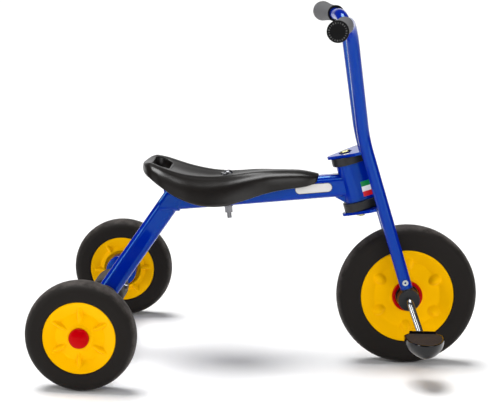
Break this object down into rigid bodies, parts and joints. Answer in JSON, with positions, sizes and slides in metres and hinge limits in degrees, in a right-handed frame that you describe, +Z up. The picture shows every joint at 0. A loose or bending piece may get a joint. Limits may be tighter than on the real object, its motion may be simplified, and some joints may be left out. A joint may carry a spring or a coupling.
{
  "type": "child tricycle",
  "caption": "Low tricycle for small children: steel tube frame and raked fork, solid rubber tyres, direct pedals on the front wheel, moulded saddle.",
  "frame": {"origin": "on the floor, under the middle of the tricycle's box as it stands", "axes": "+X forward, towards the front wheel; +Y to the rider's left; +Z up"},
  "size_m": [0.7634, 0.5466, 0.6326],
  "materials": {
    "blue_paint": "gloss",
    "yellow_plastic": "gloss",
    "red_plastic": "gloss",
    "black_plastic": "satin",
    "saddle_plastic": "satin",
    "grip_rubber": "satin",
    "tread_rubber": "matte",
    "sleeve_rubber": "matte",
    "tyre_rubber": "matte",
    "zinc_steel": "satin",
    "black_steel": "satin",
    "chrome": "polished",
    "badge_film": "gloss"
  },
  "bodies": {
    "frame": {"main_tube": "blue_paint", "rear_leg": "blue_paint", "axle_tube": "blue_paint", "head_shell": "blue_paint", "leg_weld": "blue_paint", "head_gusset": "blue_paint", "upper_collar": "black_plastic", "lower_collar": "black_plastic", "axle_flange_right": "blue_paint", "axle_flange_left": "blue_paint", "axle_sleeve_right": "sleeve_rubber", "axle_sleeve_left": "sleeve_rubber", "rear_axle": "zinc_steel", "axle_washers": "zinc_steel", "axle_nuts": "zinc_steel", "sleeve_screw": "zinc_steel", "saddle": "saddle_plastic", "saddle_bolts": "black_steel", "saddle_spacers": "black_plastic", "saddle_plate": "blue_paint", "saddle_nuts": "zinc_steel", "name_badges": "badge_film"},
    "fork": {"fork_tube_right": "blue_paint", "fork_tube_left": "blue_paint", "grip_right": "grip_rubber", "grip_left": "grip_rubber", "top_plate": "blue_paint", "bottom_plate": "blue_paint", "steering_bolt": "zinc_steel", "steering_nut": "zinc_steel", "bearing_block_right": "black_plastic", "bearing_block_left": "black_plastic", "fork_screws": "chrome"},
    "front_wheel": {"front_tyre": "tyre_rubber", "front_disc_right": "yellow_plastic", "front_disc_left": "yellow_plastic", "hub_ring_right": "red_plastic", "hub_ring_left": "red_plastic", "front_hub_core": "black_plastic", "drive_pin": "zinc_steel", "crankshaft": "chrome", "pedal_retainer_right": "zinc_steel", "pedal_retainer_left": "zinc_steel"},
    "pedal_right": {"pedal_body_right": "black_plastic", "pedal_tread_right": "tread_rubber"},
    "pedal_left": {"pedal_body_left": "black_plastic", "pedal_tread_left": "tread_rubber"},
    "rear_wheel_right": {"rear_tyre_right": "tyre_rubber", "rear_disc_outer_right": "yellow_plastic", "rear_disc_inner_right": "yellow_plastic", "rear_bush_right": "black_plastic", "hub_cap_right": "red_plastic"},
    "rear_wheel_left": {"rear_tyre_left": "tyre_rubber", "rear_disc_outer_left": "yellow_plastic", "rear_disc_inner_left": "yellow_plastic", "rear_bush_left": "black_plastic", "hub_cap_left": "red_plastic"}
  },
  "joints": [
    {"name": "steering", "type": "hinge", "parent": "frame", "child": "fork", "pos_m": [0.21871, 0, 0.11367], "axis": [-0.2864, 0, 0.9581], "range_deg": [-50.2, 39.8]},
    {"name": "front_wheel_spin", "type": "hinge", "parent": "fork", "child": "front_wheel", "pos_m": [0.25659, 0.0036, 0.12499], "axis": [-0.0868, 0.9959, -0.026], "continuous": true},
    {"name": "pedal_right_spin", "type": "hinge", "parent": "front_wheel", "child": "pedal_right", "pos_m": [0.28823, -0.13555, 0.074], "axis": [-0.0868, 0.9959, -0.026], "continuous": true},
    {"name": "pedal_left_spin", "type": "hinge", "parent": "front_wheel", "child": "pedal_left", "pos_m": [0.22495, 0.14275, 0.17599], "axis": [-0.0868, 0.9959, -0.026], "continuous": true},
    {"name": "rear_wheel_right_spin", "type": "hinge", "parent": "frame", "child": "rear_wheel_right", "pos_m": [-0.28725, -0.24325, 0.0945], "axis": [0, 1, 0], "continuous": true},
    {"name": "rear_wheel_left_spin", "type": "hinge", "parent": "frame", "child": "rear_wheel_left", "pos_m": [-0.28725, 0.24325, 0.0945], "axis": [0, 1, 0], "continuous": true}
  ]
}
